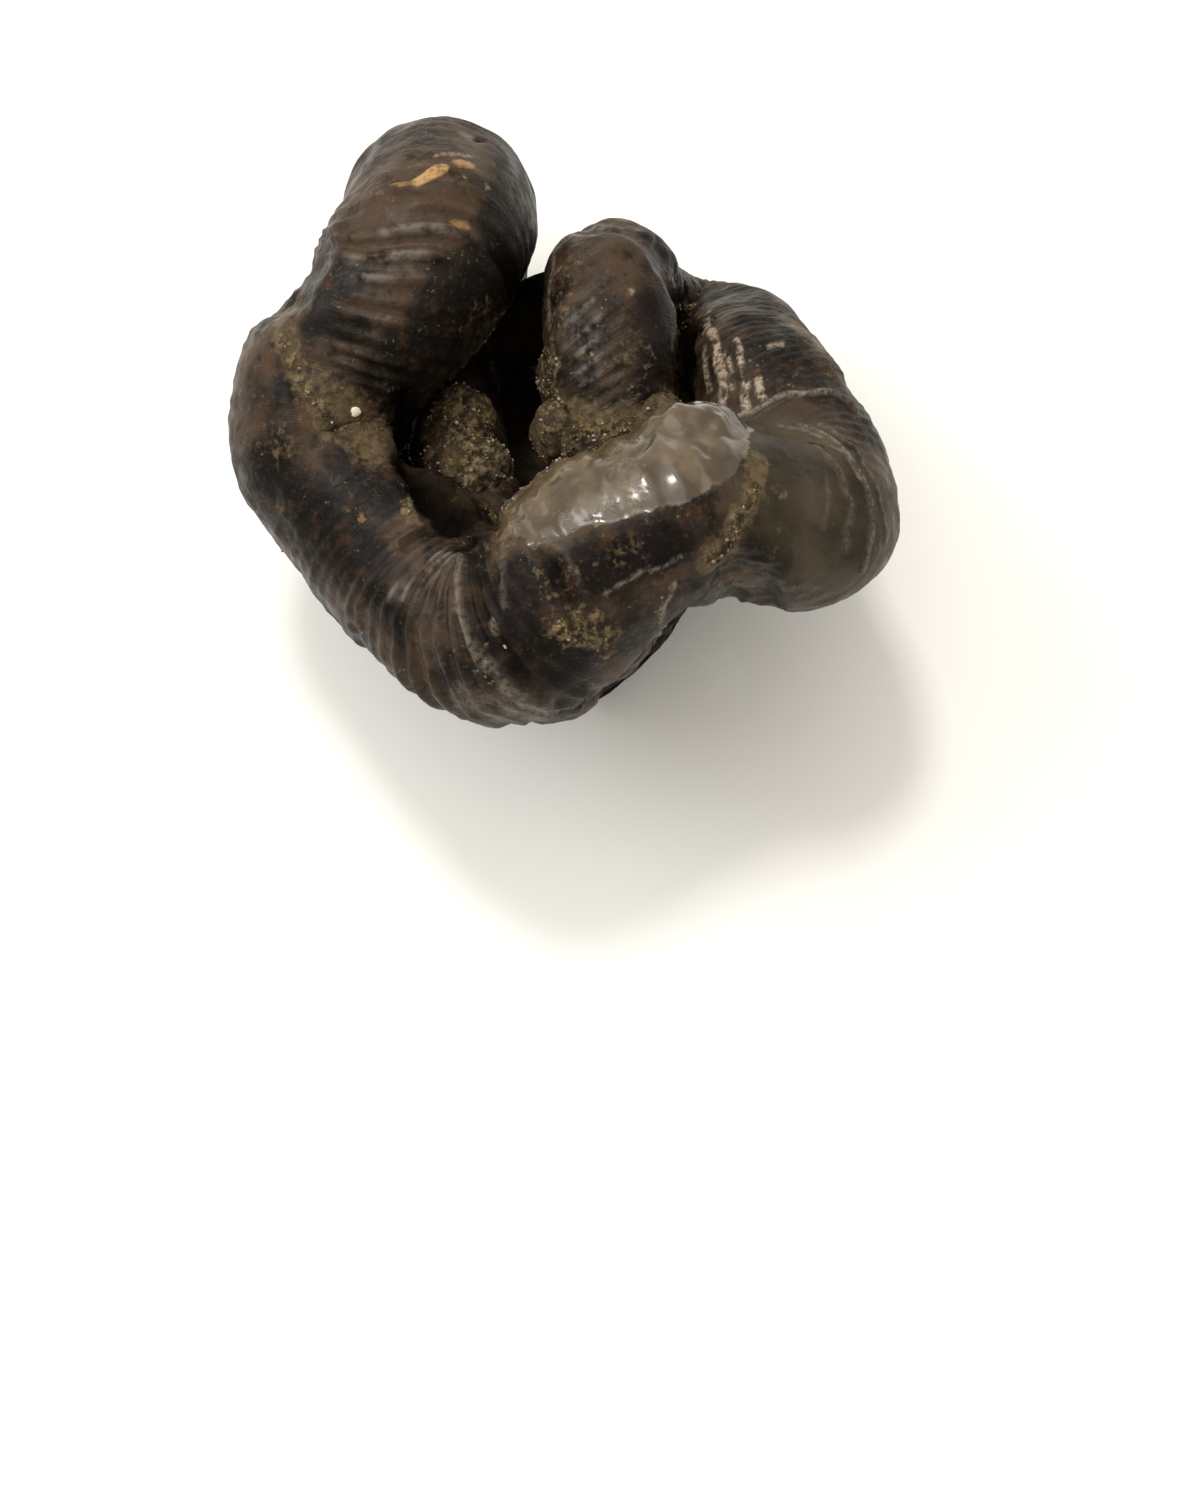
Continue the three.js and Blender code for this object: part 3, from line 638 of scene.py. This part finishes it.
def grid_normals(points):
    """Outward directions of a grid whose rows are rings."""
    along = np.gradient(points, axis=0)
    around = np.roll(points, -1, axis=1) - np.roll(points, 1, axis=1)
    return unit(np.cross(around, along))


# Meshes

def in_box(points):
    """Keeps points inside the solid's box, and flat where they meet the ground."""
    low, high = (np.array(corner) / MM for corner in cad_box)
    return np.clip(points, low, high)


def fill_mesh(mesh, points, groups):
    """Points, and groups of faces that have the same number of corners."""
    mesh.vertices.add(len(points))
    mesh.vertices.foreach_set("co", (points * MM).astype(np.float32).ravel())
    corners = np.concatenate([faces.ravel() for faces in groups])
    totals = np.concatenate([np.full(len(faces), faces.shape[1]) for faces in groups])
    mesh.loops.add(len(corners))
    mesh.loops.foreach_set("vertex_index", corners.astype(np.int32))
    mesh.polygons.add(len(totals))
    mesh.polygons.foreach_set("loop_start", (np.cumsum(totals) - totals).astype(np.int32))
    mesh.polygons.foreach_set("loop_total", totals.astype(np.int32))
    mesh.update(calc_edges=True)
    mesh.validate()
    mesh.shade_smooth()


def add_object(name, data):
    """A new object at the origin."""
    thing = bpy.data.objects.new(name, data)
    bpy.context.scene.collection.objects.link(thing)
    return thing


def add_mesh(name, points, groups, material, values, normals=None):
    """A piece of the part, with a value at each point for every kind of surface."""
    mesh = bpy.data.meshes.new(name)
    fill_mesh(mesh, points, groups)
    for key, column in values.items():
        attribute = mesh.attributes.new(key, "FLOAT", "POINT")
        attribute.data.foreach_set("value", column.astype(np.float32))
    if normals is not None:
        mesh.normals_split_custom_set_from_vertices(normals.astype(np.float32))
    mesh.materials.append(material)
    piece = add_object(name, mesh)
    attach(piece, "root")
    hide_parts("shell")


def ring_faces(rings, sides):
    """Quads between neighbouring rings."""
    ring, side = np.meshgrid(np.arange(rings - 1), np.arange(sides), indexing="ij")
    a = ring * sides + side
    b = ring * sides + (side + 1) % sides
    return np.stack([a, b, b + sides, a + sides], axis=2).reshape(-1, 4)


def end_fan(first, centre, sides, turned):
    """Triangles from a ring to the point in its middle."""
    side = np.arange(sides)
    a, b = first + side, first + (side + 1) % sides
    middle = np.full(sides, centre)
    return np.stack([b, a, middle] if turned else [a, b, middle], axis=1)


def mouth_grid(rim, forward):
    """Rings that close the mouth: the shell's edge, then rock that bulges out of it."""
    centre = rim.mean(axis=0)
    share = 1 - np.arange(1, MOUTH_RINGS) / MOUTH_RINGS
    sunk = smooth_step(0.0, MOUTH_EDGE, 1 - share)
    depth = MOUTH_BULGE * np.sqrt(1 - share ** 2) - MOUTH_STEP * sunk
    points = centre + (rim - centre) * share[:, None, None] + forward * depth[:, None, None]
    flat = points.reshape(-1, 3)
    share = np.repeat(share, len(rim))
    lift = (waves(flat, "mouth") + waves(flat, "mouth_broad")) * np.repeat(sunk, len(rim))
    flat = flat + forward * lift[:, None]
    values = {key: np.zeros(len(flat)) for key in SKIN_VALUES}
    values["crust"] = smooth_step(0.42, 0.58, 1 - share + waves(flat, "mouth_crust"))
    values["growth"] = share * 9
    # Painted shade over the whole mouth.
    values["painted_shade"] = np.ones(len(flat))
    return flat.reshape(points.shape), values


def limb_skin(name, material):
    """The skin of one limb, and what its loose grains need."""
    early = name == "early_coil"
    sides = SIDES_EARLY if early else SIDES
    start, end = route.limits[name]
    if name == "last_limb":
        end -= MOUTH_BACK
    arcs = route.ring_places(start, end, RING_GAP_EARLY if early else RING_GAP)
    points, values = skin_grid(name, arcs, sides)
    normals = grid_normals(points)[1:-1]
    points = points[1:-1]
    values = {key: values[key].reshape(len(arcs), sides)[1:-1].ravel() for key in SKIN_VALUES}
    if name == "last_limb":
        mouth, mouth_values = mouth_grid(points[-1], route.along[-1])
        points = np.concatenate([points, mouth])
        normals = grid_normals(points)
        values = {key: np.concatenate([values[key], mouth_values[key]]) for key in SKIN_VALUES}
    return closed_skin(name, points, normals, values, material)


def closed_skin(name, points, normals, values, material):
    """Adds a grid of rings as a closed mesh, with a point in the middle of each end."""
    rings, sides = points.shape[:2]
    count = rings * sides
    groups = [
        ring_faces(rings, sides),
        np.vstack([end_fan(0, count, sides, True), end_fan(count - sides, count + 1, sides, False)]),
    ]
    ends = np.stack([points[0].mean(axis=0), points[-1].mean(axis=0)])
    outward = unit(ends - np.stack([points[1].mean(axis=0), points[-2].mean(axis=0)]))
    points = in_box(np.vstack([points.reshape(-1, 3), ends]))
    normals = np.vstack([normals.reshape(-1, 3), outward])
    values = {key: np.append(column, column[[0, -1]]) for key, column in values.items()}
    add_mesh(name, points, groups, material, values, normals)
    return points, normals, values["crust"]


def ball(detail):
    """Points and triangles of an even ball of radius 1."""
    mesh = bpy.data.meshes.new("ball")
    shape = bmesh.new()
    bmesh.ops.create_icosphere(shape, subdivisions=detail, radius=1.0)
    shape.to_mesh(mesh)
    shape.free()
    points = np.zeros(len(mesh.vertices) * 3)
    mesh.vertices.foreach_get("co", points)
    faces = np.zeros(len(mesh.polygons) * 3, np.int64)
    mesh.polygons.foreach_get("vertices", faces)
    bpy.data.meshes.remove(mesh)
    return points.reshape(-1, 3), faces.reshape(-1, 3)


def rock_crust(material):
    """All the lumps of rock in the angles, as one mesh, and what its loose grains need."""
    balls = {detail: ball(detail) for detail in (ROCK_DETAIL, LARGE_ROCK_DETAIL)}
    parts = []
    first = 0
    for number, (x, y, z, *half, sandy, shadowed) in enumerate(ROCK.values()):
        directions, faces = balls[LARGE_ROCK_DETAIL if max(half) > LARGE_ROCK else ROCK_DETAIL]
        swell = 1 + 0.08 * noise(directions * 3, 1.6, 101 + number)
        points = np.array([x, y, z]) - MIDDLE + directions * half * swell[:, None]
        crust = np.clip(sandy + waves(points, "lump_crust"), 0, 1)
        height = waves(points, "lump")
        height += crust * (0.1 + waves(points, "lump_grit"))
        film = np.full(len(points), min(1.5 * sandy, 1.0))
        # Lumps deep in the hollows are painted black as shade.
        grime = np.full(len(points), float(shadowed))
        parts.append((points + directions * height[:, None], faces + first, crust, film, grime, directions))
        first += len(points)
    points, faces, crust, film, grime, directions = (np.concatenate(column) for column in zip(*parts))
    points = in_box(points)
    values = {key: np.zeros(len(points)) for key in SKIN_VALUES}
    values.update(crust=crust, sand=film, grime=grime)
    add_mesh("rock_crust", points, [faces], material, values)
    return points, directions, crust * (1 - grime)


def loose_grains(beds, material):
    """Small grains of sand and crystal, half sunk in the sandy places."""
    points, outward, crust = (np.concatenate(column) for column in zip(*beds))
    seen = np.flatnonzero(crust > GRAIN_BED)
    picked = np.random.default_rng(7).choice(seen, GRAINS, replace=False)
    draw = np.random.default_rng(8)
    size = draw.uniform(*GRAIN_SIZE, GRAINS)
    shape, faces = ball(1)
    stretch = draw.uniform(*GRAIN_STRETCH, (GRAINS, 1, 3))
    dented = shape[None] + draw.uniform(-GRAIN_DENTS, GRAIN_DENTS, (GRAINS, len(shape), 3))
    centre = points[picked] + outward[picked] * (GRAIN_LIFT * size)[:, None]
    corners = in_box((centre[:, None] + dented * stretch * size[:, None, None]).reshape(-1, 3))
    numbers = (np.arange(GRAINS) * len(shape))[:, None, None]
    tint = np.repeat(draw.uniform(0, 1, GRAINS), len(shape))
    groups = [(faces[None] + numbers).reshape(-1, 3)]
    add_mesh("rock_grains", corners, groups, material, {"tint": tint})


# Materials

class Nodes:
    """Short ways to add shader nodes."""

    def __init__(self, name):
        self.material = bpy.data.materials.new(name)
        self.material.use_nodes = True
        self.tree = self.material.node_tree
        self.tree.nodes.clear()
        self.shader = self.add("ShaderNodeBsdfPrincipled")
        self.add("ShaderNodeOutputMaterial", {"Surface": self.shader.outputs[0]})
        self.place = self.add("ShaderNodeTexCoord").outputs["Object"]

    def add(self, kind, inputs=None, **settings):
        """A node with its settings, and with its inputs fed by name or number."""
        node = self.tree.nodes.new(kind)
        for key, value in settings.items():
            setattr(node, key, value)
        for key, value in (inputs or {}).items():
            self.feed(node.inputs[key], value)
        return node

    def feed(self, socket, value):
        """Links a socket to another node or to a value that the meshes carry, or sets its number."""
        if isinstance(value, str):
            value = self.add("ShaderNodeAttribute", attribute_name=value).outputs["Fac"]
        if isinstance(value, bpy.types.NodeSocket):
            self.tree.links.new(value, socket)
        else:
            socket.default_value = value

    def set(self, name, value):
        """Feeds one of the shader's own sockets."""
        self.feed(self.shader.inputs[name], value)

    def noise(self, size, detail=4.0, roughness=0.55):
        inputs = {"Vector": self.place, "Scale": 1 / (size * MM), "Detail": detail, "Roughness": roughness}
        return self.add("ShaderNodeTexNoise", inputs).outputs["Fac"]

    def cells(self, size):
        """Distance to the nearest of many scattered points."""
        inputs = {"Vector": self.place, "Scale": 1 / (size * MM)}
        return self.add("ShaderNodeTexVoronoi", inputs).outputs["Distance"]

    def math(self, operation, a, b=0.0, clamp=False):
        return self.add("ShaderNodeMath", {0: a, 1: b}, operation=operation, use_clamp=clamp).outputs[0]

    def times(self, a, b):
        return self.math("MULTIPLY", a, b)

    def plus(self, a, b):
        return self.math("ADD", a, b)

    def larger(self, a, b):
        return self.math("MAXIMUM", a, b)

    def spread(self, value, low, high, to_low=0.0, to_high=1.0):
        """A smooth change from one number at low to another at high."""
        inputs = {"Value": value, "From Min": low, "From Max": high, "To Min": to_low, "To Max": to_high}
        return self.add("ShaderNodeMapRange", inputs, interpolation_type="SMOOTHSTEP").outputs["Result"]

    def mix(self, share, a, b):
        """Colour a with a share of colour b."""
        return self.add("ShaderNodeMix", {0: share, 6: a, 7: b}, data_type="RGBA").outputs[2]

    def fade(self, value, low, high, a, b, most=1.0):
        """Colour a where a value is low, and at most this share of colour b where it is high."""
        return self.mix(self.spread(value, low, high, 0.0, most), a, b)

    def bump(self, height, depth, normal=None):
        """Relief that is depth millimetres high, on top of any that is there."""
        inputs = {"Height": height, "Strength": 1.0, "Distance": depth * MM}
        if normal is not None:
            inputs["Normal"] = normal
        return self.add("ShaderNodeBump", inputs).outputs["Normal"]


def colour(*levels):
    """A colour whose red, green and blue are given as they look on a screen, from 0 to 255."""
    shares = [level / 255 for level in levels]
    return (*(s / 12.92 if s <= 0.04045 else ((s + 0.055) / 1.055) ** 2.4 for s in shares), 1.0)


UMBER = colour(25, 19, 14)
BROWN = colour(67, 52, 39)
RUST = colour(73, 48, 29)
GREY_BROWN = colour(86, 74, 61)
BLACK_BROWN = colour(8, 6, 5)
VIOLET_BROWN = colour(35, 26, 27)
OLIVE = colour(93, 78, 57)
OLIVE_DARK = colour(67, 54, 37)
GREEN_BROWN = colour(69, 60, 46)
GREEN_DARK = colour(48, 41, 30)
SAND = colour(98, 82, 58)
SAND_DARK = colour(54, 44, 30)
KHAKI = colour(128, 112, 84)
GOLDEN = colour(130, 106, 70)
DARK_ROCK = colour(46, 38, 27)
GOLD = colour(170, 132, 86)
TAN = colour(166, 148, 127)
PALE = colour(142, 131, 116)
PAINTED_GLINT = colour(116, 110, 103)
WHITE = colour(228, 220, 196)
FLOOR = colour(240, 237, 231)
FLOOR_LIGHT = colour(244, 242, 237)

COAT = 0.45  # gloss over the bare stone
COAT_ROUGHNESS = 0.17
SKIN_ROUGHNESS = (0.30, 0.52)
SHELL_SHINE = 0.12
STONE_SHINE = 0.45
GROWTH_LINES = 4  # fine lines to each rib
LINE_DEPTH = 0.02  # depths of the finest relief, in millimetres
PIT_DEPTH = 0.10
GRIT_DEPTH = 0.40


def shell_colour(nodes):
    """Dark umber with brown and rusty clouds, paler rib crests, painted light, shade and glints."""
    # Painted light on the lit sides, mixed with paler brown tone, lifts the clouds towards brown.
    clouds = nodes.plus(nodes.noise(6.0), nodes.times("painted_light_and_tone", 0.16))
    # Painted shade: the clouds darken on the sides turned from the lamps.
    clouds = nodes.math("SUBTRACT", clouds, nodes.times("painted_shade", 0.25))
    spots = nodes.noise(1.7, detail=5)
    fine = nodes.noise(0.5)
    shell = nodes.fade(clouds, 0.38, 0.66, UMBER, BROWN)
    shell = nodes.fade(spots, 0.52, 0.72, shell, RUST, 0.6)
    shell = nodes.mix(nodes.spread(spots, 0.28, 0.46, 0.7, 0.0), shell, BLACK_BROWN)
    crest = nodes.times("rib", nodes.spread(spots, 0.35, 0.65, 0.0, 0.18))
    shell = nodes.mix(crest, shell, GREY_BROWN)
    shell = nodes.fade(fine, 0.56, 0.72, shell, GREY_BROWN, 0.4)
    flecks = nodes.spread(nodes.noise(0.55, detail=3), 0.64, 0.68)
    flecks = nodes.times(flecks, nodes.spread(nodes.noise(3.5), 0.52, 0.62, 0.0, 0.8))
    shell = nodes.mix(flecks, shell, KHAKI)
    # Painted glints: pale bluish highlights on the rib crests where the marks say.
    glint_share = nodes.times("painted_glint", nodes.spread(spots, 0.38, 0.60, 0.0, 0.9))
    glint_share = nodes.times(glint_share, nodes.spread("rib", 0.2, 0.8, 0.25, 1.0))
    shell = nodes.mix(glint_share, shell, PAINTED_GLINT)
    return nodes.mix(nodes.times("violet", 0.7), shell, VIOLET_BROWN)


def mould_colour(nodes):
    """Smooth olive-brown stone."""
    stone = nodes.fade(nodes.noise(4.0, detail=3), 0.38, 0.62, OLIVE_DARK, OLIVE)
    return nodes.fade(nodes.noise(1.2, detail=5), 0.5, 0.75, stone, BROWN, 0.5)


def smooth_colour(nodes):
    """Worn shell, greenish brown and without ribs."""
    worn = nodes.fade(nodes.noise(5.0, detail=5), 0.36, 0.64, GREEN_DARK, GREEN_BROWN)
    return nodes.fade(nodes.noise(1.4, detail=5), 0.52, 0.75, worn, BROWN, 0.5)


def sand_colour(nodes):
    """A thin film of fine sand."""
    grit = nodes.noise(0.9, detail=7, roughness=0.75)
    return nodes.fade(grit, 0.34, 0.62, SAND_DARK, SAND)


def rock_colour(nodes):
    """Sandy rock in khaki and dull gold, with dark pits and a few pale grains."""
    rock = nodes.fade(nodes.noise(3.0), 0.38, 0.64, KHAKI, GOLDEN)
    rock = nodes.fade(nodes.noise(0.8, detail=6, roughness=0.7), 0.42, 0.60, DARK_ROCK, rock)
    rock = nodes.mix(nodes.spread(nodes.noise(2.2, detail=5), 0.36, 0.56, 0.65, 0.0), rock, BLACK_BROWN)
    grains = nodes.spread(nodes.cells(0.45), 0.08, 0.20, 1.0, 0.0)
    picked = nodes.spread(nodes.noise(0.9), 0.60, 0.66)
    return nodes.mix(nodes.times(grains, picked), rock, PALE)


def ragged(nodes, name, fine, reach):
    """A value that the meshes carry, with fine noise along its edge."""
    return nodes.plus(name, nodes.spread(fine, 0.3, 0.7, -reach, reach))


def add_chips(nodes, skin):
    """Small bright places: chips, streaks, pale edges and a white grain."""
    patchy = nodes.spread(nodes.noise(0.7, detail=5, roughness=0.7), 0.38, 0.60, 0.1, 1.0)
    chipped = nodes.spread(nodes.noise(0.9, detail=5), 0.34, 0.52, 0.4, 1.0)
    skin = nodes.mix(nodes.times("gold", chipped), skin, GOLD)
    skin = nodes.mix(nodes.times("tan", patchy), skin, TAN)
    pale = nodes.larger("pale", nodes.times("ridge", 0.25))
    skin = nodes.mix(nodes.times(pale, patchy), skin, PALE)
    return nodes.fade("white", 0.3, 0.7, skin, WHITE)


def painted_shade_in_hollows(nodes):
    """How much painted shade darkens the furrows, grooves, angles between limbs and the places in the hole.
    """
    dark = nodes.larger("furrow", nodes.times("groove", 0.7))
    dark = nodes.larger(dark, nodes.times("crevice", 0.6))
    return nodes.larger(dark, "grime")


def set_gloss(nodes, mould, crust, dark):
    """Satin shell, glossy stone, and dull rock and painted shade."""
    gloss = nodes.spread(nodes.noise(2.5), 0.35, 0.65, *SKIN_ROUGHNESS)
    gloss = nodes.math("SUBTRACT", gloss, nodes.times(mould, 0.17))
    dull = nodes.larger(crust, dark)
    nodes.set("Roughness", nodes.math("ADD", gloss, nodes.times(dull, 0.4), clamp=True))
    shine = nodes.spread(mould, 0.0, 1.0, SHELL_SHINE, STONE_SHINE)
    # Less shine under the painted shade of the hollows and the marked sides.
    shine = nodes.times(shine, nodes.spread(dark, 0.0, 1.0, 1.0, 0.1))
    shine = nodes.times(shine, nodes.spread("painted_shade", 0.0, 1.0, 1.0, 0.6))
    nodes.set("Specular IOR Level", shine)
    nodes.set("Coat Weight", nodes.times(mould, COAT))
    nodes.set("Coat Roughness", COAT_ROUGHNESS)


def set_fine_relief(nodes, mould, crust):
    """Growth lines on the shell, pits, and the grit of the rock."""
    growth = nodes.math("SINE", nodes.times("growth", 2 * math.pi * GROWTH_LINES))
    growth = nodes.times(growth, nodes.spread(nodes.noise(3.0), 0.45, 0.65, 0.0, 0.5))
    growth = nodes.times(growth, nodes.spread(mould, 0.0, 0.6, 1.0, 0.0))
    normal = nodes.bump(growth, LINE_DEPTH)
    pits = nodes.times(nodes.noise(0.5, detail=5), nodes.spread(mould, 0.0, 1.0, 1.0, 0.12))
    normal = nodes.bump(pits, PIT_DEPTH, normal)
    grit = nodes.times(nodes.noise(0.5, detail=6, roughness=0.7), crust)
    nodes.set("Normal", nodes.bump(grit, GRIT_DEPTH, normal))


def fossil_material():
    """Shell, stone mould and rock, each where the mesh says, with painted light, shade and glints."""
    nodes = Nodes("fossil")
    fine = nodes.noise(0.8, detail=5)
    mould = nodes.spread(ragged(nodes, "mould", fine, 0.2), 0.25, 0.75)
    sand = nodes.spread(ragged(nodes, "sand", fine, 0.25), 0.2, 0.8, 0.0, 0.9)
    crust = nodes.spread(ragged(nodes, "crust", fine, 0.25), 0.20, 0.75, 0.0, 0.95)
    dark = painted_shade_in_hollows(nodes)
    skin = nodes.fade("smooth", 0.2, 0.8, shell_colour(nodes), smooth_colour(nodes))
    skin = nodes.mix(mould, skin, mould_colour(nodes))
    # Painted shade: the marked sides darken towards black brown.
    skin = nodes.mix(nodes.times("painted_shade", 0.5), skin, BLACK_BROWN)
    skin = nodes.mix(sand, skin, sand_colour(nodes))
    skin = nodes.mix(crust, skin, rock_colour(nodes))
    skin = add_chips(nodes, skin)
    # Painted shade in the furrows, grooves, angles and the hole.
    nodes.set("Base Color", nodes.mix(nodes.times(dark, 0.9), skin, BLACK_BROWN))
    set_gloss(nodes, mould, crust, dark)
    set_fine_relief(nodes, mould, crust)
    return nodes.material


def grain_material():
    """Grains from dark brown through dull yellow to a few pale ones."""
    nodes = Nodes("grains")
    grain = nodes.fade("tint", 0.35, 0.45, DARK_ROCK, KHAKI)
    grain = nodes.fade("tint", 0.75, 0.8, grain, TAN)
    grain = nodes.fade("tint", 0.96, 0.97, grain, PALE)
    grain = nodes.fade(nodes.noise(0.2), 0.4, 0.7, grain, DARK_ROCK, 0.5)
    nodes.set("Base Color", grain)
    nodes.set("Roughness", 0.35)
    return nodes.material


def floor_material():
    """Matt white paper."""
    nodes = Nodes("floor")
    nodes.set("Base Color", nodes.mix(nodes.noise(30.0, detail=2), FLOOR, FLOOR_LIGHT))
    nodes.set("Roughness", 0.85)
    nodes.set("Specular IOR Level", 0.2)
    return nodes.material


# Camera, light and floor

CAMERA_ELEVATION = 75.6  # degrees above the ground, from the front
CAMERA_PLACE = (4.08, -101.6, 282.9)
CAMERA_LENS = 62.4
NEAREST_SEEN = 0.01  # in metres

# Soft boxes: direction from the part, distance and side in metres, power in watts, and tint.
WARM_WHITE = (1.0, 0.98, 0.95)
LIGHTS = {
    "key": ((-0.14, 0.36, 1.0), 0.9, 0.12, 3.0, WARM_WHITE),
    "ceiling": ((-0.35, 0.25, 1.0), 1.4, 2.0, 13.5, WARM_WHITE),
    "window": ((-0.75, 0.2, 0.75), 1.2, 0.5, 3.8, (0.86, 0.93, 1.0)),
}
WORLD_TINT = (1.0, 0.975, 0.91, 1.0)
WORLD_STRENGTH = 0.65
FLOOR_REACH = 3.0  # in metres, from the middle to an edge


def place_camera():
    data = bpy.data.cameras.new("camera")
    data.lens = CAMERA_LENS
    data.clip_start = NEAREST_SEEN
    camera = add_object("camera", data)
    camera.location = [value * MM for value in CAMERA_PLACE]
    camera.rotation_euler = (math.radians(90 - CAMERA_ELEVATION), 0, 0)
    bpy.context.scene.camera = camera


def place_light(name, direction, distance, size, power, tint):
    """A square soft box that faces the part from a direction."""
    data = bpy.data.lights.new(name, "AREA")
    data.size = size
    data.energy = power
    data.color = tint
    light = add_object(name, data)
    towards = unit(np.array(direction))
    light.location = towards * distance
    light.rotation_euler = Vector(towards).to_track_quat("Z", "Y").to_euler()


def place_lights():
    for name, settings in LIGHTS.items():
        place_light(name, *settings)
    world = bpy.data.worlds.new("studio")
    world.use_nodes = True
    background = world.node_tree.nodes["Background"]
    background.inputs["Color"].default_value = WORLD_TINT
    background.inputs["Strength"].default_value = WORLD_STRENGTH
    bpy.context.scene.world = world
    bpy.context.scene.view_settings.view_transform = "Standard"


def place_floor():
    mesh = bpy.data.meshes.new("floor")
    corners = [(FLOOR_REACH * x, FLOOR_REACH * y, 0) for x, y in ((-1, -1), (1, -1), (1, 1), (-1, 1))]
    mesh.from_pydata(corners, [], [(0, 1, 2, 3)])
    mesh.materials.append(floor_material())
    floor = add_object("floor", mesh)


place_camera()
place_lights()
place_floor()
fossil = fossil_material()
grain_beds = [limb_skin(limb, fossil) for limb in ROUTE]
grain_beds.append(rock_crust(fossil))
loose_grains(grain_beds, grain_material())

bpy.context.view_layer.update()
